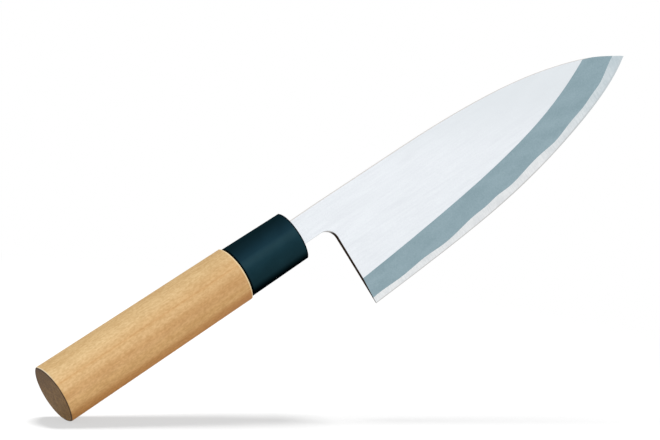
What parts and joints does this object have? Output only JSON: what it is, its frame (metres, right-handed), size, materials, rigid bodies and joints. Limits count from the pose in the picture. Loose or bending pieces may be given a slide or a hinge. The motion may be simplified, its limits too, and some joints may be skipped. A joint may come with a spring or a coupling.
{
  "type": "deba knife",
  "caption": "Heavy single-bevelled Japanese kitchen knife with a chestnut-section wooden handle and a moulded ferrule, for cutting up fish.",
  "frame": {"origin": "centre of the flat butt face of the handle, level with the handle's axis and in the blade's middle plane", "axes": "+X along the handle to the tip of the blade, +Z from the cutting edge to the spine, -Y out of the bevelled right side of the blade"},
  "size_m": [0.3162, 0.0241, 0.0601],
  "materials": {
    "blade_body": "soft iron, satin flat and matt ground bevel",
    "cutting_steel": "hard steel, finely ground and brighter than the body",
    "handle": "plain pale magnolia, sanded and not lacquered",
    "ferrule": "moulded, blue-black, fine matt",
    "tang_bedding": "cured dark resin"
  },
  "bodies": {
    "root": {"blade_body": "blade_body", "cutting_steel": "cutting_steel", "handle": "handle", "ferrule": "ferrule", "tang_bedding": "tang_bedding"}
  },
  "joints": []
}
